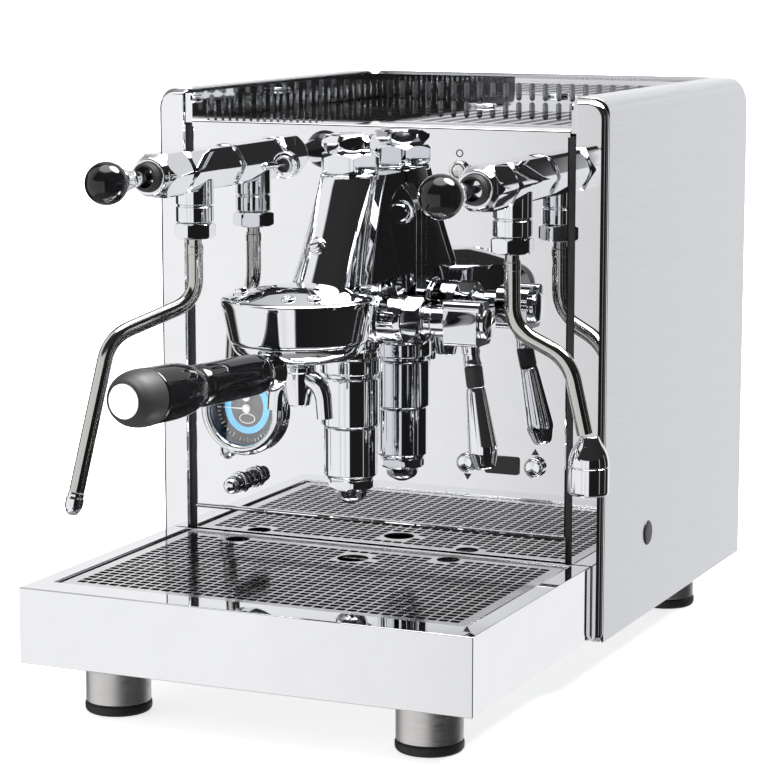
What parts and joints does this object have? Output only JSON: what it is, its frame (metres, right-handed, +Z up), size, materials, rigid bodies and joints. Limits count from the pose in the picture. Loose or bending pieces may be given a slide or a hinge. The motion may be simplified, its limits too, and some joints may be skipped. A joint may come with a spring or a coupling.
{
  "type": "espresso machine",
  "caption": "Box-shaped polished steel espresso machine with a lever brewing group, portafilter, steam and hot-water taps and a sliding drip tray.",
  "frame": {"origin": "under the middle of the bounding box, on the plane of the feet", "axes": "+X to the machine's right as seen from the front, +Y towards its back, +Z up"},
  "size_m": [0.3286, 0.5772, 0.361],
  "materials": {
    "mirror_steel": "mirror polished stainless sheet",
    "satin_steel": "fine satin stainless sheet",
    "chrome": "chromed brass and polished tube",
    "brushed_steel": "brushed stainless",
    "galvanised_steel": "galvanised sheet",
    "brass": "raw brass and copper",
    "black_gloss": "moulded gloss black",
    "black_rubber": "soft touch rubber",
    "black_plastic": "moulded matt black",
    "clear_plastic": "clear moulded tank",
    "dial_face": "printed dial in a chromed case",
    "needle_white": "painted needles",
    "lamp_lens": "tinted lens"
  },
  "bodies": {
    "machine": {"base_frame": "galvanised_steel", "left_side_panel": "satin_steel", "right_side_panel": "satin_steel", "rear_panel": "satin_steel", "left_front_trim": "mirror_steel", "right_front_trim": "mirror_steel", "front_panel": "mirror_steel", "splash_plate": "mirror_steel", "cup_tray": "mirror_steel", "cup_rail": "mirror_steel", "power_inlet": "black_plastic", "display_window": "black_plastic", "pump": "black_plastic", "control_box": "black_plastic", "front_left_foot": "brushed_steel", "front_right_foot": "brushed_steel", "rear_left_foot": "brushed_steel", "rear_right_foot": "brushed_steel", "shower_screen": "brushed_steel", "group_body": "chrome", "mushroom_cap": "chrome", "infusion_chamber": "chrome", "drain_valve": "chrome", "cam_nut": "chrome", "steam_valve_body": "chrome", "steam_cap_nut": "chrome", "steam_outlet_nut": "chrome", "water_valve_body": "chrome", "water_cap_nut": "chrome", "water_outlet_nut": "chrome", "toggle_switch": "chrome", "gauge_case": "dial_face", "pilot_lamp": "lamp_lens", "steam_boiler": "brass"},
    "lever": {"lever_hub": "chrome", "lever_grip": "chrome", "lever_sleeve": "black_rubber"},
    "portafilter": {"portafilter_body": "chrome", "filter_basket": "brushed_steel", "portafilter_spout": "chrome", "portafilter_grip": "black_gloss", "grip_end_cap": "black_rubber"},
    "steam_tap": {"steam_stem": "chrome", "steam_knob": "black_gloss"},
    "water_tap": {"water_stem": "chrome", "water_knob": "black_gloss"},
    "wand": {"steam_wand": "chrome", "steam_tip": "chrome"},
    "water_spout": {"water_pipe": "chrome", "water_nozzle": "chrome"},
    "toggle": {"toggle_bat": "chrome"},
    "boiler_needle": {"boiler_needle": "needle_white"},
    "pump_needle": {"pump_needle": "needle_white"},
    "adjuster": {"pressure_adjuster": "chrome"},
    "down_button": {"down_button": "chrome"},
    "up_button": {"up_button": "chrome"},
    "drip_tray": {"drip_tray": "mirror_steel"},
    "drip_grille": {"drip_grille": "brushed_steel"},
    "water_tank": {"water_tank": "clear_plastic"},
    "tank_lid": {"tank_lid": "mirror_steel"}
  },
  "joints": [
    {"name": "lever_lift", "type": "hinge", "parent": "machine", "child": "lever", "pos_m": [0.07961, -0.04292, 0.229], "axis": [-1, 0, 0], "range_deg": [0, 80]},
    {"name": "portafilter_lock", "type": "hinge", "parent": "machine", "child": "portafilter", "pos_m": [-0.00039, -0.11292, 0.22], "axis": [0, 0, -1], "range_deg": [0, 45]},
    {"name": "steam_tap_tilt", "type": "hinge", "parent": "machine", "child": "steam_tap", "pos_m": [-0.10589, -0.08892, 0.314], "axis": [1, 0, 0], "range_deg": [-10, 10], "stiffness_Nm_per_rad": 2},
    {"name": "water_tap_tilt", "type": "hinge", "parent": "machine", "child": "water_tap", "pos_m": [0.10511, -0.08892, 0.314], "axis": [1, 0, 0], "range_deg": [-10, 10], "stiffness_Nm_per_rad": 2},
    {"name": "wand_swivel", "type": "hinge", "parent": "machine", "child": "wand", "pos_m": [-0.10589, -0.04192, 0.277], "axis": [0, 0, 1], "range_deg": [-40, 60]},
    {"name": "water_spout_swivel", "type": "hinge", "parent": "machine", "child": "water_spout", "pos_m": [0.10511, -0.04192, 0.277], "axis": [0, 0, -1], "range_deg": [0, 85]},
    {"name": "toggle_throw", "type": "hinge", "parent": "machine", "child": "toggle", "pos_m": [-0.06219, -0.00342, 0.3155], "axis": [0, 0, 1], "range_deg": [0, 56]},
    {"name": "boiler_needle_turn", "type": "hinge", "parent": "machine", "child": "boiler_needle", "pos_m": [-0.09199, -0.00492, 0.1666], "axis": [0, 1, 0], "range_deg": [0, 170], "stiffness_Nm_per_rad": 0.001},
    {"name": "pump_needle_turn", "type": "hinge", "parent": "machine", "child": "pump_needle", "pos_m": [-0.09199, -0.00492, 0.1592], "axis": [0, -1, 0], "range_deg": [0, 170], "stiffness_Nm_per_rad": 0.001},
    {"name": "adjuster_turn", "type": "hinge", "parent": "machine", "child": "adjuster", "pos_m": [-0.09139, -0.00492, 0.1134], "axis": [0, 1, 0], "range_deg": [-180, 180]},
    {"name": "down_button_press", "type": "slide", "parent": "machine", "child": "down_button", "axis": [0, 1, 0], "range_m": [0, 0.0015], "stiffness_N_per_m": 300},
    {"name": "up_button_press", "type": "slide", "parent": "machine", "child": "up_button", "axis": [0, 1, 0], "range_m": [0, 0.0015], "stiffness_N_per_m": 300},
    {"name": "drip_tray_slide", "type": "slide", "parent": "machine", "child": "drip_tray", "axis": [0, -1, 0], "range_m": [0, 0.18]},
    {"name": "grille_lift", "type": "slide", "parent": "drip_tray", "child": "drip_grille", "axis": [0, 0, 1], "range_m": [0, 0.022]},
    {"name": "tank_lift", "type": "slide", "parent": "machine", "child": "water_tank", "axis": [0, 0, 1], "range_m": [0, 0.2]},
    {"name": "lid_lift", "type": "slide", "parent": "water_tank", "child": "tank_lid", "axis": [0, 0, 1], "range_m": [0, 0.05]}
  ]
}
